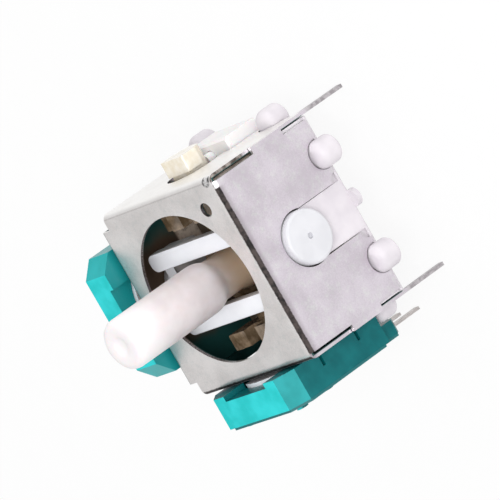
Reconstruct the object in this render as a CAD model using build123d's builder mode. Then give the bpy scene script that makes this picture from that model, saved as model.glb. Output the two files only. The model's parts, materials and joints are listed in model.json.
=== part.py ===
"""Analog stick module of a game controller: two crossed yokes under a stamped cover, two side
potentiometers and a click switch. Millimetres, +Z up along the stick, -Y the flap with the open journal. The
origin is on the stick axis, in the plane of the circuit board that the base stands on."""

import os
from math import atan, degrees

from build123d import *

os.makedirs("parts", exist_ok=True)

# Cover, one stamped and folded sheet
cover_width = 16.4
cover_top = 11.5
flap_bottom = 0.9
sheet = 0.3
bend_radius = 0.6
stick_hole_radius = 6.45
corner_relief = 0.55
rear_corner_relief = 1.3
slit = 0.08
slot_radius = 2.35
slot_half_width = 2.2
slot_mouth_radius = 0.7
notch_radius = 1.3
notch_top = 2.4
tooling_hole_radius = 0.6
tooling_hole_x = 5.8
tooling_hole_y = -5.6
wide_band_bottom = 3.4
wide_band_top = 6.8
lower_flap_inset = 0.65
leg_width = 0.55
leg_tip = -4.2
switch_window_half = 2.85
switch_window_gap = 0.4

# Base, moulded
pivot_height = 6.45
base_bottom = 0.35
floor_thickness = 0.8
flange_inset = 0.2
flange_top = 0.85
flange_chamfer = 0.3
wall_fit = 0.1
wall_thickness = 0.95
wall_top = 3.2
peg_radius = 1.2
peg_spread = 4.65
peg_distance = 8.4
peg_top = 2.05
peg_rounding = 0.35
peg_crown = 0.7
gate_nub_radius = 0.75
gate_nub_drop = 0.2
gate_nub_x = 0.35
post_fit = 0.08
guide_face = 6.25
guide_half_width = 3.4
guide_drop = 0.6
guide_travel = 0.6

# Running fits
running_fit = 0.06
rocking_fit = 0.08
tongue_fit = 0.12

# Upper yoke, along Y, turns about Y
front_disc_radius = 2.22
front_disc_proud = 0.65
front_disc_rounding = 0.25
disc_dimple_radius = 0.25
yoke_rear_journal = 1.6
slot_clearance = 0.3
rail_outer = 3.45
rail_top = 3.6
rail_thickness = 0.9
yoke_end_gap = 0.3
yoke_end_thickness = 0.95
yoke_corner = 1.6
yoke_hub_radius = 2.5
yoke_slot_half_length = 4.9
slot_corner = 0.8
end_wall_top = 2.6

# Lower arm, along X, turns about X
ring_radius = 3.4
ring_top = 1.0
ring_bottom = -1.6
window_half_length = 2.65
window_clearance = 0.1
window_corner = 1.5
neck_half_width = 1.3
neck_top = 0.8
neck_bottom = -1.2
hub_half_width = 2.2
hub_top = 3.1
hub_start = 4.65
hub_length = 1.35
hub_groove_half = 0.75
hub_groove_depth = 1.2
arm_left_journal = 1.6
arm_right_journal = 1.2
paddle_start = 8.4
paddle_end = 9.75
paddle_half_width = 1.5
paddle_height = 1.55
paddle_neck_height = 1.3
paddle_rounding = 0.2
tongue_half_height = 1.0
tongue_half_thickness = 0.7
tongue_end = 10.1
rocker_distance = 8.9
journal_gap = 0.1

# Stick, its cross pin and its spring cup
stick_radius = 2.0
stick_top = 20.9
stick_tip_rounding = 0.3
tip_dimple_radius = 0.9
tip_dimple_depth = 0.25
tip_dimple_taper = 45
flat_distance = 1.6
flat_bottom = 13.2
foot_radius = 1.6
foot_shoulder = 5.4
foot_bottom = 3.45
spigot_radius = 0.9
cross_pin_radius = 0.5
cross_pin_half_length = 3.1
cup_radius = 2.9
cup_thickness = 0.7
cup_rim_height = 0.3
cup_rim_width = 0.3
spring_wire = 0.3
spring_top_radius = 2.2
spring_bottom_radius = 2.8
spring_turns = 2.5

# Potentiometers, drawn for the left side and turned for the rear one
pot_inner_face = 8.3
pot_thickness = 2.7
pot_half_width = 5.4
pot_top = 13.0
pot_bottom = 2.35
pot_chamfer = 1.35
pocket_radius = 5.0
pocket_depth = 1.65
pocket_mouth_half = 2.7
pocket_mouth_depth = 0.45
wiper_bore_radius = 3.4
lug_inner = 9.8
lug_half_width = 4.6
lug_bottom = 0.2
lug_chamfer = 0.4
latch_slit_height = 0.3
latch_slit_length = 1.2
latch_slit_depth = 0.3
latch_slit_low = 4.8
latch_slit_high = 8.9
rotor_gap = 0.15
rotor_clearance = 0.1
rotor_thickness = 1.4
rotor_disc_radius = 3.6
rotor_tab_half = 2.4
rotor_hub_radius = 2.3
rotor_hub_height = 0.5
wiper_thickness = 0.12
wiper_ring_radius = 3.0
wiper_finger_width = 0.5
wiper_finger_half = 1.2
board_thickness = 0.25
board_inset = 0.25
rivet_radius = 0.55
rivet_height = 0.3
rivet_level = 2.1
head_taper = 15
stake_radius = 0.5
stake_fit = 0.05
stake_y = 3.3
stake_levels = (8.3, 11.2)
pin_pitch = 2.5
pin_width = 0.6
pin_thickness = 0.25
pin_tip = -3.8
pin_distance = 10.7
pin_seat = 0.8

# Click switch on the right side
switch_inner = 6.85
switch_outer = 9.2
switch_half_width = 2.7
switch_bottom = 0.95
switch_drop = 2.1
switch_rounding = 0.2
switch_wall = 0.325
switch_pin_x = 7.25
switch_pin_y = 2.25
switch_pin_seat = 0.8
plunger_radius = 0.55
plunger_gap = 0.12
plunger_side_gap = 0.1
plunger_flange_half = 1.2
plunger_flange_depth = 1.05
plunger_flange_thickness = 0.3
chamber_half_length = 1.5
chamber_depth = 1.6
dome_half_length = 1.3
dome_half_width = 0.6
dome_thickness = 0.1

# Sizes that follow
half_cover = cover_width / 2
inner_half = half_cover - sheet
flange_half_width = half_cover - flange_inset
base_half = inner_half - wall_fit
floor_top = base_bottom + floor_thickness
base_inner = base_half - wall_thickness
slot_half = stick_radius + slot_clearance
leg_front = inner_half - slit - leg_width
leg_spots = (-leg_front - leg_width / 2, half_cover - rear_corner_relief - leg_width / 2)
peg_level = notch_top - notch_radius
yoke_half_length = base_inner - yoke_end_gap
yoke_inner_half = yoke_half_length - yoke_end_thickness
hub_end = hub_start + hub_length
rotor_radius = pocket_radius - rotor_clearance
rotor_face = pot_inner_face + rotor_gap
rotor_outer = rotor_face + rotor_thickness
pocket_floor = pivot_height - rotor_disc_radius - rotor_clearance
pot_outer_face = pot_inner_face + pot_thickness
board_face = pot_outer_face + board_thickness
cup_bottom = foot_bottom - cup_thickness
guide_top = pivot_height - guide_drop
switch_top = pivot_height - switch_drop
switch_window_top = switch_top + switch_window_gap
switch_pocket_x = switch_inner - post_fit
switch_pocket_half = switch_half_width + post_fit
switch_middle = (switch_inner + switch_outer) / 2
chamber_half_width = (switch_outer - switch_inner) / 2 - switch_wall
chamber_floor = switch_top - chamber_depth
plunger_bottom = switch_top - plunger_flange_depth
plunger_shoulder = plunger_bottom + plunger_flange_thickness
plunger_top = pivot_height - arm_right_journal - plunger_gap
sides = (0, 90, 180, 270)


def export(part, label):
    """Names a finished piece and writes its file."""
    part.label = label
    export_step(part, f"parts/{label}.step")


# Stamped cover with its four flaps and legs
with BuildPart() as metal_cover:
    with BuildSketch(Plane.XY.offset(flap_bottom)):
        Rectangle(cover_width, cover_width)
    extrude(amount=cover_top - flap_bottom)
    fillet(metal_cover.edges().group_by(Axis.Z)[-1], bend_radius)
    with BuildSketch(Plane.XY.offset(flap_bottom)):
        Rectangle(2 * inner_half, 2 * inner_half)
    extrude(amount=cover_top - sheet - flap_bottom, mode=Mode.SUBTRACT)
    ceiling = cover_top - sheet
    inner_fold = metal_cover.edges().filter_by_position(Axis.Z, ceiling - sheet / 2, ceiling + sheet / 2)
    fillet(inner_fold, bend_radius - sheet)
    with BuildSketch(Plane.XY.offset(ceiling)):
        Circle(stick_hole_radius)
        with Locations((tooling_hole_x, tooling_hole_y)):
            Circle(tooling_hole_radius)
    extrude(amount=sheet, mode=Mode.SUBTRACT)
    # Open slot with a round end and flared mouth for each journal, and two arches for the pegs beside it
    for turn in sides:
        flap_plane = Plane.XZ.rotated((0, 0, turn)).offset(inner_half - sheet)
        with BuildSketch(flap_plane):
            with BuildLine():
                low = flap_bottom - sheet
                mouth = slot_half_width + slot_mouth_radius
                shoulder_z = pivot_height - (slot_radius**2 - slot_half_width**2) ** 0.5
                flare_z = flap_bottom + slot_mouth_radius
                left_wall = Line((-slot_half_width, flare_z), (-slot_half_width, shoulder_z))
                ThreePointArc(left_wall @ 1, (0, pivot_height + slot_radius), (slot_half_width, shoulder_z))
                right_wall = Line((slot_half_width, shoulder_z), (slot_half_width, flare_z))
                right_flare = RadiusArc(right_wall @ 1, (mouth, flap_bottom), slot_mouth_radius)
                Polyline(right_flare @ 1, (mouth, low), (-mouth, low), (-mouth, flap_bottom))
                RadiusArc((-mouth, flap_bottom), left_wall @ 0, slot_mouth_radius)
            make_face()
            for peg_x in (-peg_spread, peg_spread):
                with Locations((peg_x, peg_level)):
                    Circle(notch_radius)
                with Locations((peg_x, (peg_level + low) / 2)):
                    Rectangle(2 * notch_radius, peg_level - low)
        extrude(amount=3 * sheet, mode=Mode.SUBTRACT)
    # Window over the click switch in the right flap
    with BuildSketch(Plane.YZ.offset(inner_half - sheet)):
        with Locations((0, (switch_window_top + low) / 2)):
            Rectangle(2 * switch_window_half, switch_window_top - low)
    extrude(amount=3 * sheet, mode=Mode.SUBTRACT)
    # Corner reliefs let the side flaps fold down on their own
    with BuildSketch(Plane.XY.offset(wide_band_top)):
        with Locations((half_cover, -half_cover), (-half_cover, -half_cover)):
            Rectangle(2 * corner_relief, 2 * (sheet + slit))
    extrude(amount=cover_top - wide_band_top, mode=Mode.SUBTRACT)
    with BuildSketch(Plane.XY.offset(low)):
        with Locations((half_cover, half_cover), (-half_cover, half_cover)):
            Rectangle(2 * rear_corner_relief, 2 * rear_corner_relief)
    extrude(amount=cover_top, mode=Mode.SUBTRACT)
    with BuildSketch(Plane.XY.offset(low)):
        with Locations((half_cover, -inner_half + slit / 2), (-half_cover, -inner_half + slit / 2)):
            Rectangle(2 * corner_relief, slit)
    extrude(amount=wide_band_top - low, mode=Mode.SUBTRACT)
    # The front flap is narrower below its wide band
    with BuildSketch(Plane.XZ.offset(inner_half)):
        lower_band = (low + wide_band_bottom) / 2
        with Locations((half_cover, lower_band), (-half_cover, lower_band)):
            Rectangle(2 * lower_flap_inset, wide_band_bottom - low)
    extrude(amount=2 * sheet, mode=Mode.SUBTRACT)
    # Solder legs run down from the corners of the side flaps
    with BuildSketch(Plane.XY.offset(leg_tip)):
        for leg_x in (-half_cover + sheet / 2, half_cover - sheet / 2):
            with Locations((leg_x, leg_spots[0]), (leg_x, leg_spots[1])):
                Rectangle(sheet, leg_width)
    extrude(amount=flap_bottom + sheet - leg_tip)
export(metal_cover.part, "metal_cover")

# Round peg of the base that stands on the circuit board
with BuildPart() as peg:
    with BuildSketch():
        Circle(peg_radius)
    extrude(amount=peg_top)
    fillet(peg.edges().group_by(Axis.Z)[-1], peg_crown)
    fillet(peg.edges().group_by(Axis.Z)[0], peg_rounding)

# Moulded base with its journal posts and standing pegs
with BuildPart() as base:
    with BuildSketch(Plane.XY.offset(base_bottom)):
        Rectangle(2 * flange_half_width, 2 * flange_half_width)
    extrude(amount=flange_top - base_bottom)
    chamfer(base.edges().group_by(Axis.Z)[0], flange_chamfer)
    with BuildSketch(Plane.XY.offset(flange_top)):
        Rectangle(2 * base_half, 2 * base_half)
    extrude(amount=wall_top - flange_top)
    with BuildSketch(Plane.XY.offset(floor_top)):
        Rectangle(2 * base_inner, 2 * base_inner)
    extrude(amount=wall_top, mode=Mode.SUBTRACT)
    # Posts stand in the cover's slots and carry the front, left and rear journals
    post_half = slot_half_width - post_fit
    for turn in (0, 180, 270):
        with BuildSketch(Plane.XZ.rotated((0, 0, turn)).offset(base_inner)):
            with Locations((0, (flange_top + pivot_height) / 2)):
                Rectangle(2 * post_half, pivot_height - flange_top)
        extrude(amount=flange_half_width - base_inner)
    bores = (
        (0, front_disc_radius + running_fit),
        (180, yoke_rear_journal + running_fit),
        (270, arm_left_journal + rocking_fit),
    )
    for turn, bore_radius in bores:
        with BuildSketch(Plane.XZ.rotated((0, 0, turn)).offset(base_inner - 1)):
            with Locations((0, pivot_height)):
                Circle(bore_radius)
        extrude(amount=flange_half_width, mode=Mode.SUBTRACT)
    # The right side is cut away for the switch, in front of a wall that guides the right journal
    with BuildSketch(Plane.XY.offset(switch_bottom - post_fit)):
        with Locations((flange_half_width, 0)):
            Rectangle(2 * (flange_half_width - switch_pocket_x), 2 * switch_pocket_half)
    extrude(amount=wall_top, mode=Mode.SUBTRACT)
    with BuildSketch(Plane.YZ.offset(guide_face)):
        with Locations((0, (floor_top + guide_top) / 2)):
            Rectangle(2 * guide_half_width, guide_top - floor_top)
        slot_width = 2 * (arm_right_journal + tongue_fit)
        with Locations((0, pivot_height)):
            Rectangle(slot_width, 2 * (arm_right_journal + guide_travel), mode=Mode.SUBTRACT)
    extrude(amount=switch_pocket_x - guide_face)
    with BuildSketch(Plane.XY.offset(base_bottom)):
        with Locations((switch_pin_x, -switch_pin_y), (switch_pin_x, switch_pin_y)):
            Rectangle(pin_thickness + post_fit, pin_width + post_fit)
    extrude(amount=floor_thickness, mode=Mode.SUBTRACT)
    # The flange is notched where the cover's legs run down past it
    with BuildSketch(Plane.XY.offset(base_bottom)):
        for leg_x in (-flange_half_width, flange_half_width):
            with Locations((leg_x, -flange_half_width)):
                Rectangle(2 * (flange_half_width - base_half), 2 * (flange_half_width - leg_front + wall_fit))
            with Locations((leg_x, leg_spots[1])):
                Rectangle(2 * (flange_half_width - base_half), leg_width + 2 * wall_fit)
    extrude(amount=flange_top - base_bottom, mode=Mode.SUBTRACT)
    # Two pegs on each side, and the gate nub at the front
    for turn in sides:
        for spot in (-peg_spread, peg_spread):
            with Locations(Vector(spot, -peg_distance).rotate(Axis.Z, turn)):
                add(peg.part)
    with BuildSketch(Plane.XY.offset(base_bottom - gate_nub_drop)):
        with Locations((gate_nub_x, -flange_half_width)):
            Circle(gate_nub_radius)
    extrude(amount=flange_top - base_bottom)
export(base.part, "base")

# Upper yoke: two rails over the lower arm, a disc journal in front and a shaft for the rear rotor
with BuildPart() as upper_yoke:
    with BuildSketch(Plane.XZ.offset(-yoke_half_length)):
        with Locations((0, pivot_height)):
            Circle(yoke_hub_radius)
        with Locations((0, pivot_height + rail_top - rail_thickness)):
            Rectangle(2 * rail_outer, 2 * rail_thickness)
        make_hull()
    extrude(amount=2 * yoke_half_length)
    fillet(upper_yoke.edges().filter_by(Axis.X).group_by(Axis.Z)[-1], yoke_corner)
    with BuildSketch(Plane.YZ.offset(-2 * rail_outer)):
        with Locations((0, pivot_height + rail_top - rail_thickness - 3 * rail_outer)):
            Rectangle(2 * yoke_inner_half, 6 * rail_outer)
        fillet(vertices(), yoke_corner - yoke_end_thickness)
    extrude(amount=4 * rail_outer, mode=Mode.SUBTRACT)
    with BuildSketch(Plane.XY.offset(pivot_height)):
        Rectangle(2 * slot_half, 2 * yoke_slot_half_length)
        fillet(vertices(), slot_corner)
    extrude(amount=2 * rail_top, mode=Mode.SUBTRACT)
    # The rails stand above the end walls
    with BuildSketch(Plane.XY.offset(pivot_height + end_wall_top)):
        Rectangle(2 * slot_half, 3 * yoke_half_length)
    extrude(amount=rail_top, mode=Mode.SUBTRACT)
    with BuildSketch(Plane.XZ.offset(yoke_half_length)):
        with Locations((0, pivot_height)):
            Circle(front_disc_radius)
    extrude(amount=half_cover + front_disc_proud - yoke_half_length)
    fillet(upper_yoke.edges().group_by(Axis.Y)[0], front_disc_rounding)
    with BuildSketch(Plane.XZ.offset(half_cover + front_disc_proud)):
        with Locations((0, pivot_height)):
            Circle(disc_dimple_radius)
    extrude(amount=-disc_dimple_radius, mode=Mode.SUBTRACT)
    with BuildSketch(Plane.XZ.offset(-yoke_half_length)):
        with Locations((0, pivot_height)):
            Circle(yoke_rear_journal)
    extrude(amount=yoke_half_length - rotor_face)
    with BuildSketch(Plane.XZ.offset(-rotor_face)):
        with Locations((0, pivot_height)):
            Rectangle(2 * tongue_half_thickness, 2 * tongue_half_height)
    extrude(amount=rotor_face - tongue_end)
export(upper_yoke.part, "upper_yoke")

# Lower arm: a ring round the stick, two grooved blocks, the left rotor's tongue and the right paddle
with BuildPart() as lower_arm:
    with BuildSketch(Plane.XY.offset(pivot_height + ring_bottom)):
        Circle(ring_radius)
    extrude(amount=ring_top - ring_bottom)
    with BuildSketch(Plane.YZ.offset(-hub_start)):
        with Locations((0, pivot_height + (neck_top + neck_bottom) / 2)):
            Rectangle(2 * neck_half_width, neck_top - neck_bottom)
    extrude(amount=2 * hub_start)
    for start in (-hub_end, hub_start):
        with BuildSketch(Plane.YZ.offset(start)):
            with Locations((0, pivot_height + (hub_top + ring_bottom) / 2)):
                Rectangle(2 * hub_half_width, hub_top - ring_bottom)
            with Locations((0, pivot_height + hub_top)):
                Rectangle(2 * hub_groove_half, 2 * hub_groove_depth, mode=Mode.SUBTRACT)
        extrude(amount=hub_length)
    with BuildSketch(Plane.XY.offset(pivot_height + ring_bottom)):
        Rectangle(2 * window_half_length, 2 * (stick_radius + window_clearance))
        fillet(vertices(), window_corner)
    extrude(amount=ring_top - ring_bottom, mode=Mode.SUBTRACT)
    with BuildSketch(Plane.XZ.offset(-ring_radius)):
        with Locations((0, pivot_height)):
            Circle(cross_pin_radius + running_fit)
    extrude(amount=2 * ring_radius, mode=Mode.SUBTRACT)
    with BuildSketch(Plane.YZ.offset(-hub_end)):
        with Locations((0, pivot_height)):
            Circle(arm_left_journal)
    extrude(amount=hub_end + journal_gap - rotor_face)
    # Round tongue that turns the rotor and lets the arm dip about its centre
    with BuildSketch(Plane.XZ.offset(-tongue_half_thickness)):
        with Locations((-rocker_distance, pivot_height)):
            Circle(tongue_half_height)
    extrude(amount=2 * tongue_half_thickness)
    with BuildSketch(Plane.YZ.offset(hub_end)):
        with Locations((0, pivot_height)):
            Circle(arm_right_journal)
    extrude(amount=paddle_end - hub_end)
    with BuildSketch(Plane.YZ.offset(hub_end)):
        with Locations((0, pivot_height + paddle_neck_height / 2)):
            Rectangle(2 * arm_right_journal, paddle_neck_height)
    extrude(amount=paddle_start - hub_end)
    with BuildSketch(Plane.YZ.offset(paddle_start)):
        with Locations((0, pivot_height + paddle_height / 2)):
            Rectangle(2 * paddle_half_width, paddle_height)
        fillet(vertices().group_by(Axis.Y)[-1], paddle_rounding)
    extrude(amount=paddle_end - paddle_start)
export(lower_arm.part, "lower_arm")

# Thumb stick, with a flat on its front and back for the cap, and its foot below the pivot
with BuildPart() as stick:
    with BuildSketch(Plane.XY.offset(foot_shoulder)):
        Circle(stick_radius)
    extrude(amount=stick_top - foot_shoulder)
    fillet(stick.edges().group_by(Axis.Z)[-1], stick_tip_rounding)
    with BuildSketch(Plane.XY.offset(flat_bottom)):
        for flat_side in (-1, 1):
            with Locations((0, flat_side * (flat_distance + stick_radius))):
                Rectangle(2 * stick_radius, 2 * stick_radius)
    extrude(amount=stick_top - flat_bottom, mode=Mode.SUBTRACT)
    with BuildSketch(Plane.XY.offset(stick_top)):
        Circle(tip_dimple_radius)
    extrude(amount=-tip_dimple_depth, taper=tip_dimple_taper, mode=Mode.SUBTRACT)
    with BuildSketch(Plane.XY.offset(foot_shoulder)):
        Circle(foot_radius)
    extrude(amount=foot_bottom - foot_shoulder)
    with BuildSketch(Plane.XY.offset(foot_bottom)):
        Circle(spigot_radius)
    extrude(amount=-cup_thickness)
    with BuildSketch(Plane.XZ.offset(-stick_radius)):
        with Locations((0, pivot_height)):
            Circle(cross_pin_radius)
    extrude(amount=2 * stick_radius, mode=Mode.SUBTRACT)
export(stick.part, "stick")

with BuildPart() as cross_pin:
    with BuildSketch(Plane.XZ.offset(-cross_pin_half_length)):
        with Locations((0, pivot_height)):
            Circle(cross_pin_radius)
    extrude(amount=2 * cross_pin_half_length)
    chamfer(cross_pin.edges().filter_by(GeomType.CIRCLE), cross_pin_radius / 4)
export(cross_pin.part, "cross_pin")

with BuildPart() as spring_cup:
    with BuildSketch(Plane.XY.offset(cup_bottom)):
        Circle(cup_radius)
        Circle(spigot_radius, mode=Mode.SUBTRACT)
    extrude(amount=cup_thickness)
    fillet(spring_cup.edges().group_by(Axis.Z)[-1].sort_by(Edge.length)[-1], cup_rim_height)
    with BuildSketch(Plane.XY.offset(cup_bottom)):
        Circle(cup_radius)
        Circle(cup_radius - cup_rim_width, mode=Mode.SUBTRACT)
    extrude(amount=-cup_rim_height)
export(spring_cup.part, "spring_cup")

with BuildPart() as return_spring:
    spring_low = floor_top + spring_wire / 2
    spring_high = cup_bottom - spring_wire / 2
    spring_height = spring_high - spring_low
    lean = degrees(atan((spring_top_radius - spring_bottom_radius) / spring_height))
    with BuildLine(Plane.XY.offset(spring_low)):
        coil = Helix(spring_height / spring_turns, spring_height, spring_bottom_radius, cone_angle=lean)
    with BuildSketch(Plane(origin=coil @ 0, z_dir=coil % 0)):
        Circle(spring_wire / 2)
    sweep(is_frenet=True)
export(return_spring.part, "return_spring")

# Left potentiometer: housing with an open-topped pocket for the rotor and a lug for the pins
with BuildPart() as housing:
    with BuildSketch(Plane.YZ.offset(-pot_inner_face)):
        with Locations((0, (pot_top + pot_bottom) / 2)):
            Rectangle(2 * pot_half_width, pot_top - pot_bottom)
        chamfer(vertices().group_by(Axis.Y)[-1], pot_chamfer)
    extrude(amount=-pot_thickness)
    with BuildSketch(Plane.YZ.offset(-pot_inner_face)):
        with Locations((0, pivot_height)):
            Circle(pocket_radius)
        with Locations((0, pocket_floor - pocket_radius)):
            Rectangle(2 * pocket_radius, 2 * pocket_radius, mode=Mode.SUBTRACT)
    extrude(amount=-pocket_depth, mode=Mode.SUBTRACT)
    with BuildSketch(Plane.YZ.offset(-pot_inner_face)):
        with Locations((0, (pot_top + pivot_height) / 2)):
            Rectangle(2 * pocket_mouth_half, pot_top - pivot_height)
    extrude(amount=-pocket_mouth_depth, mode=Mode.SUBTRACT)
    with BuildSketch(Plane.YZ.offset(-pot_inner_face)):
        with Locations((0, pivot_height)):
            Circle(wiper_bore_radius)
    extrude(amount=-pot_thickness, mode=Mode.SUBTRACT)
    for level in (latch_slit_low, latch_slit_high):
        for slit_side in (-1, 1):
            with BuildSketch(Plane.YZ.offset(-pot_inner_face)):
                with Locations((slit_side * pot_half_width, level)):
                    Rectangle(2 * latch_slit_depth, latch_slit_height)
            extrude(amount=-latch_slit_length, mode=Mode.SUBTRACT)
    with BuildSketch(Plane.YZ.offset(-lug_inner)):
        with Locations((0, (pot_bottom + lug_bottom) / 2)):
            Rectangle(2 * lug_half_width, pot_bottom - lug_bottom)
        chamfer(vertices().group_by(Axis.Y)[0], lug_chamfer)
    extrude(amount=lug_inner - pot_outer_face)
    with BuildSketch(Plane.XY.offset(lug_bottom)):
        with Locations((-pin_distance, -pin_pitch), (-pin_distance, 0), (-pin_distance, pin_pitch)):
            Rectangle(pin_thickness, pin_width)
    extrude(amount=pin_seat, mode=Mode.SUBTRACT)
    with BuildSketch(Plane.YZ.offset(-pot_outer_face)):
        for level in stake_levels:
            with Locations((-stake_y, level), (stake_y, level)):
                Circle(stake_radius)
    extrude(amount=-board_thickness - rivet_height)

# Rotor with a slot for the arm's tongue and a hub that carries the wiper
with BuildPart() as rotor:
    with BuildSketch(Plane.YZ.offset(-rotor_face)):
        with Locations((0, pivot_height)):
            Circle(rotor_radius)
            Rectangle(2 * rotor_tab_half, 2 * rotor_radius, mode=Mode.INTERSECT)
            with Locations((0, -rotor_radius)):
                Rectangle(2 * rotor_radius, 2 * rotor_radius, mode=Mode.SUBTRACT)
            Circle(rotor_disc_radius)
    extrude(amount=-rotor_thickness)
    with BuildSketch(Plane.YZ.offset(-rotor_outer)):
        with Locations((0, pivot_height)):
            Circle(rotor_hub_radius)
    extrude(amount=-rotor_hub_height)
    with BuildSketch(Plane.YZ.offset(-rotor_face)):
        with Locations((0, pivot_height)):
            Rectangle(2 * (tongue_half_thickness + running_fit), 2 * (tongue_half_height + tongue_fit))
    extrude(amount=-rotor_thickness - rotor_hub_height, mode=Mode.SUBTRACT)

# Spring wiper: a ring on the rotor's hub with a finger that reaches the board
with BuildPart() as wiper:
    with BuildSketch(Plane.YZ.offset(-rotor_outer)):
        with Locations((0, pivot_height)):
            Circle(wiper_ring_radius)
            Circle(rotor_hub_radius, mode=Mode.SUBTRACT)
    extrude(amount=-wiper_thickness)
    with BuildSketch(Plane.XY.offset(pivot_height + wiper_ring_radius - wiper_finger_width)):
        with BuildLine():
            Polyline(
                (-rotor_outer, -wiper_finger_half),
                (-rotor_outer - wiper_thickness, -wiper_finger_half),
                (-pot_outer_face + running_fit, wiper_finger_half),
                (-pot_outer_face + running_fit + wiper_thickness, wiper_finger_half),
                close=True,
            )
        make_face()
    extrude(amount=wiper_finger_width)

# Resistor board that closes the housing, with the pin rivets and heat stakes on its face
with BuildPart() as board:
    with BuildSketch(Plane.YZ.offset(-pot_outer_face)):
        with Locations((0, (pot_top + pot_bottom) / 2)):
            Rectangle(2 * (pot_half_width - board_inset), pot_top - pot_bottom - 2 * board_inset)
        chamfer(vertices().group_by(Axis.Y)[-1], pot_chamfer)
        with Locations((0, (pot_bottom + lug_bottom) / 2 + board_inset)):
            Rectangle(2 * (lug_half_width - board_inset), pot_bottom - lug_bottom)
        for level in stake_levels:
            with Locations((-stake_y, level), (stake_y, level)):
                Circle(stake_radius + stake_fit, mode=Mode.SUBTRACT)
    extrude(amount=-board_thickness)

with BuildPart() as rivets:
    with BuildSketch(Plane.YZ.offset(-board_face)):
        with Locations((-pin_pitch, rivet_level), (0, rivet_level), (pin_pitch, rivet_level)):
            Circle(rivet_radius)
    extrude(amount=-rivet_height, taper=head_taper)

with BuildPart() as pot_pins:
    with BuildSketch(Plane.XY.offset(pin_tip)):
        with Locations((-pin_distance, -pin_pitch), (-pin_distance, 0), (-pin_distance, pin_pitch)):
            Rectangle(pin_thickness, pin_width)
    extrude(amount=lug_bottom + pin_seat - pin_tip)

pot_pieces = {
    "pot_housing": housing,
    "pot_rotor": rotor,
    "pot_wiper": wiper,
    "resistor_board": board,
    "board_rivets": rivets,
    "pot_pins": pot_pins,
}
for piece_name, piece in pot_pieces.items():
    for side_name, side_turn in (("left", 0), ("rear", -90)):
        with BuildPart() as placed:
            add(piece.part, rotation=(0, 0, side_turn))
        export(placed.part, f"{piece_name}_{side_name}")

# Click switch: body, plunger, snap dome and pins
with BuildPart() as switch_body:
    with BuildSketch(Plane.XY.offset(switch_bottom)):
        with Locations(((switch_inner + switch_outer) / 2, 0)):
            Rectangle(switch_outer - switch_inner, 2 * switch_half_width)
    extrude(amount=switch_top - switch_bottom)
    chamfer(switch_body.edges().group_by(Axis.Z)[-1], switch_rounding)
    with BuildSketch(Plane.XY.offset(chamber_floor)):
        with Locations((switch_middle, 0)):
            Rectangle(2 * chamber_half_width, 2 * chamber_half_length)
    extrude(amount=plunger_shoulder + running_fit - chamber_floor, mode=Mode.SUBTRACT)
    with BuildSketch(Plane.XY.offset(chamber_floor)):
        with Locations((switch_middle, 0)):
            Circle(plunger_radius + running_fit)
    extrude(amount=switch_top, mode=Mode.SUBTRACT)
    with BuildSketch(Plane.XY.offset(switch_bottom)):
        with Locations((switch_pin_x, -switch_pin_y), (switch_pin_x, switch_pin_y)):
            Rectangle(pin_thickness, pin_width)
    extrude(amount=switch_pin_seat, mode=Mode.SUBTRACT)
export(switch_body.part, "switch_body")

with BuildPart() as switch_plunger:
    with BuildSketch(Plane.XY.offset(plunger_bottom)):
        with Locations((switch_middle, 0)):
            Rectangle(2 * (chamber_half_width - plunger_side_gap), 2 * plunger_flange_half)
    extrude(amount=plunger_shoulder - plunger_bottom)
    with BuildSketch(Plane.XY.offset(plunger_bottom)):
        with Locations((switch_middle, 0)):
            Circle(plunger_radius)
    extrude(amount=plunger_top - plunger_bottom)
export(switch_plunger.part, "switch_plunger")

with BuildPart() as switch_dome:
    with BuildSketch(Plane.YZ.offset(switch_middle)):
        with BuildLine():
            dome_crown = plunger_bottom - running_fit
            inner_half_length = dome_half_length - dome_thickness
            crown = ThreePointArc(
                (-dome_half_length, chamber_floor),
                (0, dome_crown),
                (dome_half_length, chamber_floor),
            )
            Line(crown @ 1, (inner_half_length, chamber_floor))
            ThreePointArc(
                (inner_half_length, chamber_floor),
                (0, dome_crown - dome_thickness),
                (-inner_half_length, chamber_floor),
            )
            Line((-inner_half_length, chamber_floor), crown @ 0)
        make_face()
    extrude(amount=dome_half_width, both=True)
export(switch_dome.part, "switch_dome")

with BuildPart() as switch_pins:
    with BuildSketch(Plane.XY.offset(pin_tip)):
        with Locations((switch_pin_x, -switch_pin_y), (switch_pin_x, switch_pin_y)):
            Rectangle(pin_thickness, pin_width)
    extrude(amount=switch_bottom + switch_pin_seat - pin_tip)
export(switch_pins.part, "switch_pins")
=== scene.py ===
"""Looks of the analog stick module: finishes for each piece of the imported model, soft studio light and the
photo's camera. Sizes and places are in mm in the model's own frame, and MM turns them into metres."""

import json
import math

import bmesh
import bpy
from mathutils import Matrix, Vector


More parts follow.
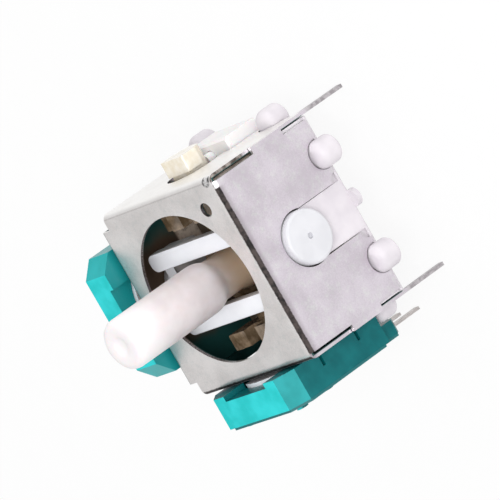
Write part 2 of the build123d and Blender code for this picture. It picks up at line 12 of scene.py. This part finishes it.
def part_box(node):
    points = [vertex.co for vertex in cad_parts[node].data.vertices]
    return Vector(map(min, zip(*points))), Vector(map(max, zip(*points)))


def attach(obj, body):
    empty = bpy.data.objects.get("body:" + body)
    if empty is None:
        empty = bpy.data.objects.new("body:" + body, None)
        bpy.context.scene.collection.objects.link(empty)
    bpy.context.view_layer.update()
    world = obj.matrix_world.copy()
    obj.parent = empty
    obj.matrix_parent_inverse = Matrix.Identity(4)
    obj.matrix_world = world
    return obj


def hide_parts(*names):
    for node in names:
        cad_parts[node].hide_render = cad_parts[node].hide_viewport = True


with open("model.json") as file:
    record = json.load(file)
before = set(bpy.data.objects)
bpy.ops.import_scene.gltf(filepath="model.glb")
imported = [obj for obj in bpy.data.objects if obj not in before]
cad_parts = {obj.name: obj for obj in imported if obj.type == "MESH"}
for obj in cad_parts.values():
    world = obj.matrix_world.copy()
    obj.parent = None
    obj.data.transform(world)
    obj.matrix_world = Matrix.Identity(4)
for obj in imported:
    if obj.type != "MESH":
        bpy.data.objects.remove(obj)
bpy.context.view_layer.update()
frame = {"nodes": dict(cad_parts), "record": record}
nodes = frame["nodes"]
MM = 0.001


def packed(metres):
    """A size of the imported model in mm."""
    return round(metres / MM, 4)


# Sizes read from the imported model
cover_low, cover_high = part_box("metal_cover")
cover_half = packed(cover_high.x)
cover_top = packed(cover_high.z)
leg_tip = packed(cover_low.z)
stick_low, stick_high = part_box("stick")
stick_foot = packed(stick_low.z)
stick_top = packed(stick_high.z)
yoke_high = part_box("upper_yoke")[1]
yoke_half = packed(yoke_high.x)
yoke_top = packed(yoke_high.z)
arm_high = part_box("lower_arm")[1]
arm_half = packed(arm_high.y)
arm_top = packed(arm_high.z)


def fill(socket, value):
    """Links a Shade to a socket, or sets the socket to a plain value. A colour is given without its alpha."""
    if isinstance(value, Shade):
        value.tree.links.new(value.socket, socket)
    elif socket.type == "RGBA":
        socket.default_value = (*value, 1)
    else:
        socket.default_value = value


def feed(node, **values):
    """Fills a node's sockets by name. Underscores stand for spaces."""
    for name, value in values.items():
        fill(node.inputs[name.replace("_", " ")], value)


class Shade:
    """One value in a node tree. Arithmetic on it adds Math nodes."""

    def __init__(self, tree, socket=None):
        self.tree = tree
        self.socket = socket

    def node(self, kind, settings=None, sockets=None, output=0):
        """Adds a node: its settings come first, then the values or links of its sockets."""
        made = self.tree.nodes.new("ShaderNode" + kind)
        for name, value in (settings or {}).items():
            setattr(made, name, value)
        for name, value in (sockets or {}).items():
            fill(made.inputs[name], value)
        return Shade(self.tree, made.outputs[output])

    def math(self, operation, first, second=0.0):
        return self.node("Math", {"operation": operation}, {0: first, 1: second})

    def __add__(self, other):
        return self.math("ADD", self, other)

    __radd__ = __add__

    def __mul__(self, other):
        return self.math("MULTIPLY", self, other)

    __rmul__ = __mul__

    def __sub__(self, other):
        return self.math("SUBTRACT", self, other)

    def __rsub__(self, other):
        return self.math("SUBTRACT", other, self)

    def __abs__(self):
        return self.math("ABSOLUTE", self)

    def __neg__(self):
        return self.math("MULTIPLY", self, -1.0)

    def most(self, other):
        return self.math("MAXIMUM", self, other)

    def least(self, other):
        return self.math("MINIMUM", self, other)

    def parts(self):
        """The three numbers of a vector."""
        split = self.node("SeparateXYZ", None, {"Vector": self})
        return [Shade(self.tree, output) for output in split.socket.node.outputs]

    def between(self, low, high):
        """0 at low, 1 at high, eased."""
        limits = {"Value": self, "From Min": low, "From Max": high}
        return self.node("MapRange", {"interpolation_type": "SMOOTHSTEP"}, limits)

    def mix(self, first, second):
        """Colour that goes from first to second as this value goes from 0 to 1."""
        return self.node("Mix", {"data_type": "RGBA"}, {0: self, 6: first, 7: second}, 2)


def start(name):
    """A new material, its surface shader and the place on the piece."""
    material = bpy.data.materials.new(name)
    material.use_nodes = True
    shader = material.node_tree.nodes["Principled BSDF"]
    place = Shade(material.node_tree).node("TexCoord", output="Object")
    return material, shader, place


def in_mm(place):
    """The place on the piece as three numbers in mm."""
    return [part * (1 / MM) for part in place.parts()]


def facing(place):
    """How far the surface faces right, back and up."""
    return place.node("NewGeometry", output="Normal").parts()


def spread(place, size, detail=3.0, roughness=0.55):
    """Cloudy noise about 0.5 whose features are about size mm across."""
    sockets = {"Vector": place, "Scale": 1 / (size * MM), "Detail": detail, "Roughness": roughness}
    return place.node("TexNoise", None, sockets)


def mottle(noise, dark, light, reach=0.2):
    """Colour that goes from dark to light while a noise goes from reach below 0.5 to reach above it."""
    return noise.between(0.5 - reach, 0.5 + reach).mix(dark, light)


def relief(height, depth, strength=0.5):
    """Bump from a height of 0 to 1, depth mm deep."""
    return height.node("Bump", None, {"Height": height, "Distance": depth * MM, "Strength": strength})


def sheet_colour_and_light(tone, tint, z, across, along, up):
    """Sheet colour with painted light: pinkish flaps, the right one painted nearly white, a top painted
    paler, darker legs and a painted teal reflection on the rear fold.
    """
    flap = tone.mix((0.6, 0.545, 0.6), (0.74, 0.685, 0.745))
    lit_top_plate = tone.mix((0.74, 0.71, 0.70), (0.88, 0.85, 0.84))
    # Painted light: the top plate is paler than the flaps
    colour = up.between(0.6, 0.9).mix(flap, lit_top_plate)
    colour = tint.between(0.42, 0.9).mix(colour, tone.mix((0.62, 0.63, 0.62), (0.8, 0.79, 0.79)))
    # Painted light: the right flap is nearly white
    lit_right_flap = across.between(0.25, 0.8) * z.between(0.2, 1.2)
    colour = lit_right_flap.mix(colour, tone.mix((0.9, 0.88, 0.86), (0.97, 0.96, 0.95)))
    legs = (0.4 - z).between(0.0, 0.8)
    colour = legs.mix(colour, mottle(tint, (0.36, 0.335, 0.35), (0.56, 0.53, 0.545), 0.15))
    # Painted reflection: teal along the rear fold
    rear_fold_reflection = along.between(0.1, 0.7) * z.between(cover_top - 1.5, cover_top - 1.0)
    return rear_fold_reflection.mix(colour, tone.mix((0.3, 0.5, 0.49), (0.5, 0.68, 0.67)))


def corner_edge_and_highlight(colour, tint, x, y, z, along):
    """Marks by the front right corner: the right flap's dark free edge, and a painted highlight with painted
    shade as a round spot on the top plate.
    """
    free_edge = x.between(cover_half - 0.6, cover_half - 0.45) * z.between(7.3, 7.8)
    free_edge = free_edge * (-along).between(0.4, 0.8)
    # Painted highlight and shade: a round spot on the top plate by the corner
    aside = x - (cover_half - 0.3)
    ahead = y + (cover_half - 0.95)
    knob_highlight = (0.3 - (aside * aside + ahead * ahead)).between(0.0, 0.15)
    knob_highlight = knob_highlight * z.between(cover_top - 0.5, cover_top - 0.3)
    colour = free_edge.mix(colour, mottle(tint, (0.1, 0.08, 0.07), (0.46, 0.41, 0.38), 0.15))
    return knob_highlight.mix(colour, mottle(tint, (0.1, 0.095, 0.095), (0.8, 0.79, 0.79), 0.08))


def inside_shade_colour(cloud, tint, x, y, z):
    """Painted shade on the cover's inner side: dark brown, a painted dark teal reflection towards the sides,
    and painted light of the arm's amber low on the rear flap.
    """
    # Painted shade, dark brown, with a painted teal reflection towards the sides
    teal_reflection = (abs(x) + cloud * 2.0).between(4.4, 6.0)
    dark = teal_reflection.mix((0.085, 0.055, 0.036), (0.012, 0.07, 0.065))
    # Painted light: the lit amber arm painted on the rear flap
    amber_light = (5.5 - z).between(0.0, 0.3) * x.between(1.5, 1.8) * y.between(7.0, 7.5)
    return amber_light.mix(dark, mottle(tint, (0.5, 0.39, 0.31), (0.88, 0.74, 0.62), 0.15))


def cover_metal():
    """Tinned sheet steel, finely mottled, with painted light and shade on its faces, painted shade on its
    rough folds, dark cut edges and painted shade on its inner side.
    """
    material, shader, place = start("tinned_sheet")
    x, y, z = in_mm(place)
    across, along, up = facing(place)
    speckle = spread(place, 0.11, 3.0, 0.7)
    tint = spread(place, 0.5, 3.0, 0.6)
    cloud = spread(place, 2.6, 2.0, 0.5)
    tone = (speckle * 0.45 + cloud * 0.55).between(0.34, 0.66)
    plain = sheet_colour_and_light(tone, tint, z, across, along, up)
    # The front and left folds are rough, with painted shade along them and a painted shade band on the front
    # flap below, and the front one ends in a painted highlight by the corner
    bend = (up * (-along).most(-across * 0.9)) * 2.0
    ragged = spread(place, 0.2, 3.0, 0.7) * 0.5 - 0.25
    past_fold = x - (cover_half - 1.1)
    in_fold = (-past_fold).between(-0.1, 0.1)
    fold = (bend + ragged * 0.6).between(0.58, 0.84) * in_fold
    spot = (bend + ragged * 0.4).between(0.6, 0.8) * past_fold.between(-0.05, 0.1)
    band = (z - (cover_top - 0.9)).between(0.0, 0.6) * (-along).between(0.4, 0.9) * in_fold
    with_painted_light = (band * 0.45).mix(plain, (0.16, 0.12, 0.14))
    with_painted_light = fold.mix(with_painted_light, mottle(tint, (0.006, 0.004, 0.004), (0.06, 0.045, 0.042), 0.15))
    with_painted_light = spot.mix(with_painted_light, mottle(tint, (0.35, 0.33, 0.33), (0.97, 0.97, 0.97), 0.1))
    with_painted_light = corner_edge_and_highlight(with_painted_light, tint, x, y, z, along)
    # Cut edges in the holes and slots are dark, partly their raw colour and partly painted shade, but the
    # left of the big hole, which faces the light, stays bright as a painted highlight
    rim = 1.0 - abs(up).most(abs(along)).most(abs(across)).between(0.9, 0.98)
    highlit_left = across.between(0.2, 0.5) * up.between(0.1, 0.3)
    edged = rim * (1.0 - bend.between(0.2, 0.4)) * (1.0 - highlit_left)
    cut = edged.mix(with_painted_light, mottle(speckle, (0.1, 0.08, 0.075), (0.4, 0.36, 0.35), 0.15))
    # The inner side is painted as shade, the dark inside of the module
    skin = 0.25
    depth = (cover_half - skin) - abs(x).most(abs(y))
    inner = depth.least((cover_top - skin) - z).between(-0.02, 0.02) * z.between(0.4, 0.8)
    feed(
        shader,
        Base_Color=inner.mix(cut, inside_shade_colour(cloud, tint, x, y, z)),
        Metallic=(1.0 - inner) * (0.85 - fold * 0.45),
        Roughness=speckle * 0.2 + fold * 0.2 + 0.3,
        Normal=relief(speckle * 0.6 + fold * ragged, 0.02),
    )
    return material


def start_moulding(name, roughness, cloud_size=1.8, grain_depth=0.002):
    """A new plastic with faint clouds and fine grain, still without its colour."""
    material, shader, place = start(name)
    cloud = spread(place, cloud_size, 2.0, 0.5)
    grain = spread(place, 0.12, 2.0, 0.5)
    feed(shader, Roughness=cloud * 0.1 + roughness, Normal=relief(grain, grain_depth))
    return material, shader, place, cloud


def moulded(name, light, dark, scatter=0.0):
    """Plain moulded plastic of one cloudy colour."""
    material, shader, place, cloud = start_moulding(name, 0.37)
    feed(
        shader,
        Base_Color=mottle(cloud, dark, light),
        Subsurface_Weight=scatter,
        Subsurface_Scale=0.6 * MM,
    )
    return material


def base_moulding():
    """White plastic of the base, with painted shade, dark brown, inside the walls and at the top of the rear
    wall.
    """
    material, shader, place, cloud = start_moulding("base_plastic", 0.38)
    x, y, z = in_mm(place)
    outer = mottle(cloud, (0.66, 0.62, 0.66), (0.74, 0.70, 0.735))
    # Painted shade: dark brown inside the walls and along the top of the rear wall
    inner_shade = mottle(cloud, (0.09, 0.065, 0.045), (0.3, 0.23, 0.18))
    within_walls = (cover_half - 1.2) - abs(x).most(abs(y))
    inner = within_walls.least(z - 1.0).between(-0.1, 0.1)
    rear_wall = y.between(6.3, 6.5) * z.between(3.0, 3.15)
    feed(shader, Base_Color=inner.most(rear_wall).mix(outer, inner_shade))
    return material


def yoke_plastic():
    """Bluish white plastic of the upper yoke, with painted shade: brightest on the rails, greyer on walls
    inside the cover and on the front disc.
    """
    material, shader, place, cloud = start_moulding("yoke_plastic", 0.33)
    y = in_mm(place)[1]
    up = facing(place)[2]
    # Painted shade: walls that do not face up are greyer than the rails
    wall = mottle(cloud, (0.46, 0.44, 0.44), (0.57, 0.545, 0.545))
    rail = mottle(cloud, (0.9, 0.91, 0.96), (0.94, 0.95, 0.99))
    # Painted shade: the front disc is darker than the rails
    disc = mottle(cloud, (0.64, 0.64, 0.67), (0.7, 0.7, 0.73))
    within_cover = up.between(0.35, 0.75).mix(wall, rail)
    front_disc = (-y).between(cover_half - 1.3, cover_half - 0.9)
    feed(shader, Base_Color=front_disc.mix(within_cover, disc))
    return material


def stick_plastic():
    """Pinkish white shaft that turns tan towards its root and paler towards its tip."""
    material, shader, place, cloud = start_moulding("stick_plastic", 0.36, 1.6, 0.003)
    z = in_mm(place)[2]
    pale = mottle(cloud, (0.67, 0.6, 0.605), (0.74, 0.68, 0.69))
    pale = z.between(16.0, stick_top - 0.7).mix(pale, (0.88, 0.84, 0.85))
    above_root = (z + cloud * 1.2).between(9.2, 12.6)
    feed(
        shader,
        Base_Color=above_root.mix((0.5, 0.36, 0.25), pale),
        Subsurface_Weight=0.15,
        Subsurface_Scale=0.5 * MM,
    )
    return material


def teal_plastic():
    """Glossy teal housings with painted light and shade: lit bright on top and shaded deep on the sides,
    deepest towards the front.
    """
    material, shader, place = start("teal_plastic")
    y, z = in_mm(place)[1:]
    up = facing(place)[2]
    cloud = spread(place, 1.5, 2.0, 0.5)
    grain = spread(place, 0.12, 2.0, 0.5)
    # Painted shade on the sides, with painted light making the rear housing's sides brighter
    side = mottle(cloud, (0.002, 0.115, 0.125), (0.005, 0.155, 0.165))
    side = y.between(7.5, 8.5).mix(side, (0.012, 0.27, 0.28))
    # Painted light: bright tops
    top = mottle(cloud, (0.012, 0.54, 0.54), (0.03, 0.66, 0.68))
    on_top = up.between(0.5, 1.0) * z.between(10.0, 10.6)
    feed(
        shader,
        Base_Color=on_top.mix(side, top),
        Roughness=cloud * 0.12 + 0.24,
        Specular_IOR_Level=0.15,
        Normal=relief(grain, 0.002, 0.4),
    )
    return material


def tinned_wire():
    """Tinned pins, and the hidden spring and wipers: grey, softly streaked along their length."""
    material, shader, place = start("tinned_wire")
    drawn_out = place.node("Mapping", None, {"Vector": place, "Scale": (1, 1, 0.15)})
    streak = spread(drawn_out, 0.1)
    feed(
        shader,
        Base_Color=mottle(streak, (0.42, 0.39, 0.38), (0.66, 0.62, 0.6)),
        Metallic=0.9,
        Roughness=streak * 0.25 + 0.25,
        Normal=relief(streak, 0.004),
    )
    return material


def amber_plastic():
    """Clear brownish plastic of the lower arm: pale outside the cover, and painted shade makes it dark brown
    within it.
    """
    material, shader, place = start("amber_plastic")
    x = in_mm(place)[0]
    cloud = spread(place, 1.0)
    # Painted shade: dark brown within the cover
    brown = mottle(cloud, (0.12, 0.08, 0.045), (0.32, 0.23, 0.15))
    clear = mottle(cloud, (0.78, 0.7, 0.55), (0.88, 0.83, 0.74))
    feed(
        shader,
        Base_Color=x.between(cover_half - 0.6, cover_half + 0.1).mix(brown, clear),
        Roughness=cloud * 0.15 + 0.12,
        Coat_Weight=0.4,
        Normal=relief(cloud, 0.03, 0.4),
    )
    return material


def board_laminate():
    """Resistor boards: pinkish grey laminate on their broad faces and the housing's teal on their edges."""
    material, shader, place = start("board_laminate")
    x, y = in_mm(place)[:2]
    across, along = facing(place)[:2]
    fibre = spread(place, 0.08, 3.0, 0.6)
    left_face = abs(across) * (-x).between(9.0, 9.5)
    rear_face = abs(along) * y.between(9.0, 9.5)
    broad_face = left_face.most(rear_face).between(0.5, 0.8)
    laminate = mottle(fibre, (0.55, 0.44, 0.43), (0.7, 0.6, 0.58))
    feed(
        shader,
        Base_Color=broad_face.mix((0.006, 0.16, 0.17), laminate),
        Roughness=fibre * 0.2 + 0.4,
        Normal=relief(fibre, 0.004),
    )
    return material


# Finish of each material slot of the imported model
finishes = {
    "cover_metal": cover_metal(),
    "base_plastic": base_moulding(),
    "yoke_plastic": yoke_plastic(),
    "stick_plastic": stick_plastic(),
    "teal_plastic": teal_plastic(),
    "amber_plastic": amber_plastic(),
    "pin_metal": tinned_wire(),
    "spring_steel": tinned_wire(),
    "wiper_brass": tinned_wire(),
    "board_laminate": board_laminate(),
    "switch_plastic": moulded("switch_plastic", (0.88, 0.86, 0.86), (0.84, 0.82, 0.82), 0.15),
}
for row in frame["record"]["subparts"]:
    node = nodes[row["node"]]
    node.data.materials.clear()
    node.data.materials.append(finishes[row["material_slot"]])

# Edges of an added piece that turn by more than this stay sharp
sharp_angle = math.radians(40)


def add_piece(name, shape, body, finish, look=None):
    """Puts a finished shape in the scene, smooth but for its sharp edges and riding on a body.

    It shows the finish of its slot, or else the material given as its look."""
    bmesh.ops.remove_doubles(shape, verts=shape.verts, dist=0.001 * MM)
    bmesh.ops.recalc_face_normals(shape, faces=shape.faces)
    for face in shape.faces:
        face.smooth = True
    for edge in shape.edges:
        if len(edge.link_faces) == 2 and edge.calc_face_angle(0) > sharp_angle:
            edge.smooth = False
    mesh = bpy.data.meshes.new(name)
    shape.to_mesh(mesh)
    shape.free()
    mesh.materials.append(look or finishes[finish])
    made = bpy.data.objects.new(name, mesh)
    bpy.context.scene.collection.objects.link(made)
    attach(made, body)
    return made


def level_slice(shape, x_span, y_span, height, inset, radius):
    """Adds one level slice of a block, a rectangle with rounded corners, and returns its face."""
    left, right = x_span
    front, rear = y_span
    centre = Vector(((left + right) / 2, (front + rear) / 2, height)) * MM
    size = Vector((right - left - 2 * inset, rear - front - 2 * inset, 1)) * MM
    place = Matrix.LocRotScale(centre, None, size)
    corners = bmesh.ops.create_grid(shape, x_segments=1, y_segments=1, size=0.5, matrix=place)["verts"]
    rounded = bmesh.ops.bevel(
        shape,
        geom=corners,
        affect="VERTICES",
        offset=radius * MM,
        segments=8,
        profile=0.5,
        material=-1,
    )
    return rounded["verts"][0].link_faces[0]


def block(shape, x_span, y_span, z_span, rounding, soft_top=0.05):
    """Adds a block with rounded upright edges and a soft top edge."""
    bottom, top = z_span
    levels = ((bottom, 0.0), (top - soft_top, 0.0), (top - soft_top * 0.3, soft_top * 0.3), (top, soft_top))
    slices = []
    for height, inset in levels:
        slices.append(level_slice(shape, x_span, y_span, height, inset, rounding - inset * 0.5))
    for under, over in zip(slices, slices[1:]):
        bmesh.ops.bridge_loops(shape, edges=[*under.edges, *over.edges])
    bmesh.ops.delete(shape, geom=slices[1:-1], context="FACES_ONLY")


def on_side(side, inner, outer):
    """The span from inner to outer on one side of the middle. side is 1 or -1."""
    return sorted((inner * side, outer * side))


# Round shaft of the stick: narrow between the rails, full width above them, with a dimpled tip
shaft_radius = 2.15
neck_radius = 1.75
# Radius and height of each point of its outline, from the foot up
shaft_outline = (
    (0.0, stick_foot),
    (0.9, stick_foot),
    (0.9, stick_foot + 0.7),
    (1.6, stick_foot + 0.7),
    (1.6, 5.4),
    (2.0, 5.4),
    (2.0, 7.5),
    (neck_radius, 8.3),
    (neck_radius, 10.15),
    (1.8, 10.4),
    (1.93, 10.75),
    (2.05, 11.05),
    (2.12, 11.35),
    (shaft_radius, 11.7),
    (shaft_radius, stick_top - 0.7),
    (2.12, stick_top - 0.45),
    (2.0, stick_top - 0.2),
    (1.8, stick_top - 0.04),
    (1.55, stick_top),
    (0.95, stick_top),
    (0.8, stick_top - 0.04),
    (0.6, stick_top - 0.18),
    (0.35, stick_top - 0.26),
    (0.0, stick_top - 0.28),
)
shaft = bmesh.new()
outline_points = [shaft.verts.new((radius * MM, 0, height * MM)) for radius, height in shaft_outline]
outline_edges = [shaft.edges.new(pair) for pair in zip(outline_points, outline_points[1:])]
bmesh.ops.spin(
    shaft,
    geom=outline_points + outline_edges,
    cent=(0, 0, 0),
    axis=(0, 0, 1),
    angle=math.tau,
    steps=96,
    use_merge=True,
)
shaft_piece = add_piece("stick_shaft", shaft, "thumb_stick", "stick_plastic")
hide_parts("stick")

# Rails of the upper yoke, rounded at their ends, with webs down to the end walls
rail_inner = 2.1
rail_outer = yoke_half + 0.17
rail_span = (-6.5, 6.5)
rail_heights = (9.1, yoke_top + 0.02)
web_inner = 2.9
web_outer = yoke_half + 0.01
web_near = 2.9
web_far = 6.3
web_heights = (7.5, 9.5)
rails = bmesh.new()
for side in (-1, 1):
    block(rails, on_side(side, rail_inner, rail_outer), rail_span, rail_heights, rounding=0.65, soft_top=0.12)
    web_x = on_side(side, web_inner, web_outer)
    for end in (-1, 1):
        block(rails, web_x, on_side(end, web_near, web_far), web_heights, rounding=0.1)
add_piece("yoke_rails", rails, "yoke", "yoke_plastic")

# Post that closes the rear left corner of the cover, painted dark teal as shade where the big hole shows it
post_x = (0.5 - cover_half, 1.4 - cover_half)
post_y = (cover_half - 1.4, cover_half - 0.5)
post_heights = (3.15, cover_top - 0.6)
# Painted shade: the post is dark teal
post_shade_look = moulded("post_plastic", (0.012, 0.07, 0.065), (0.006, 0.035, 0.033))
post = bmesh.new()
block(post, post_x, post_y, post_heights, rounding=0.2)
add_piece("corner_post", post, "housing", "teal_plastic", post_shade_look)

# Rounded post of the front right corner, which the gap between the flaps shows as a brownish rod
rod_x = (cover_half - 1.25, cover_half - 0.4)
rod_y = (0.45 - cover_half, 1.3 - cover_half)
rod_heights = (3.0, cover_top - 0.45)
# Brown plastic, cloudy from dark to light
rod_look = moulded("brown_rod_plastic", (0.62, 0.54, 0.48), (0.22, 0.17, 0.14))
rod = bmesh.new()
block(rod, rod_x, rod_y, rod_heights, rounding=0.4)
add_piece("front_post", rod, "housing", "base_plastic", rod_look)

# Wider flanks of the lower arm's two blocks
flank_inner = 4.7
flank_outer = 6.1
flank_near = 2.1
flank_far = arm_half - 0.2
flank_heights = (7.0, arm_top - 0.25)
flanks = bmesh.new()
for side in (-1, 1):
    flank_x = on_side(side, flank_inner, flank_outer)
    for end in (-1, 1):
        block(flanks, flank_x, on_side(end, flank_near, flank_far), flank_heights, rounding=0.15)
add_piece("arm_flanks", flanks, "arm", "amber_plastic")


def floor_paper():
    """White paper: as bright as the photo's background to the camera, and pale where it lights the object."""
    material, shader, place = start("floor_paper")
    fibre = spread(place, 3, 3.0, 0.5)
    feed(shader, Base_Color=mottle(fibre, (0.86, 0.86, 0.86), (0.9, 0.9, 0.9), 0.3), Roughness=0.8)
    paper = Shade(place.tree, shader.outputs[0])
    glow = place.node("Emission", None, {"Color": (1, 1, 1), "Strength": 1.0})
    straight = place.node("LightPath", output="Is Camera Ray")
    mirrored = place.node("LightPath", output="Is Glossy Ray")
    through = place.node("LightPath", output="Is Transmission Ray")
    seen = straight.most(mirrored).most(through)
    surface = place.node("MixShader", None, {0: seen * 0.9, 1: paper, 2: glow})
    feed(place.tree.nodes["Material Output"], Surface=surface)
    return material


# Floor under the tips of the legs
floor_half = 600
sheet = bmesh.new()
bmesh.ops.create_grid(sheet, x_segments=1, y_segments=1, size=floor_half * MM)
floor_mesh = bpy.data.meshes.new("floor")
sheet.to_mesh(floor_mesh)
sheet.free()
floor = bpy.data.objects.new("floor", floor_mesh)
floor.location.z = leg_tip * MM
floor_mesh.materials.append(floor_paper())
bpy.context.scene.collection.objects.link(floor)

# World: white to the camera and a little dimmer as light
world = bpy.data.worlds.new("studio")
bpy.context.scene.world = world
world.use_nodes = True
camera_ray = Shade(world.node_tree).node("LightPath", output="Is Camera Ray")
feed(world.node_tree.nodes["Background"], Color=(1, 1, 1), Strength=camera_ray * 0.3 + 0.7)

# Lamps, all turned to the middle of the module
lamp_aim = Vector((0, 0, 6)) * MM


def lamp(name, direction, distance, size, power):
    """Soft square lamp: distance and size are in mm, power in watts."""
    light = bpy.data.lights.new(name, "AREA")
    light.size = size * MM
    light.energy = power
    lamp_object = bpy.data.objects.new(name, light)
    away = Vector(direction).normalized()
    lamp_object.location = lamp_aim + away * distance * MM
    lamp_object.rotation_euler = away.to_track_quat("Z", "Y").to_euler()
    bpy.context.scene.collection.objects.link(lamp_object)


lamp("key_lamp", (0.05, -0.75, 0.8), 300, 120, 0.45)
lamp("front_lamp", (0.3, -1.0, 0.2), 350, 200, 0.08)
lamp("right_lamp", (1.0, -0.25, 0.25), 350, 200, 0.25)

# Camera as fitted to the cover's corners and legs in the photo
camera_right = Vector((-0.49443168, -0.56540386, -0.66019375))
camera_down = Vector((-0.85933313, 0.20374749, 0.46907732))
camera_forward = Vector((-0.13070531, 0.79925305, -0.58660949))
camera_place = Vector((78.353, -476.861, 355.648)) * MM
camera_data = bpy.data.cameras.new("photo_camera")
camera_data.sensor_width = 36
camera_data.lens = 551.04
camera_data.clip_start = 0.01
camera_data.clip_end = 5
camera = bpy.data.objects.new("photo_camera", camera_data)
camera_turn = Matrix((camera_right, -camera_down, -camera_forward)).transposed().to_4x4()
camera.matrix_world = Matrix.Translation(camera_place) @ camera_turn
bpy.context.scene.collection.objects.link(camera)
bpy.context.scene.camera = camera
bpy.context.scene.view_settings.view_transform = "Standard"
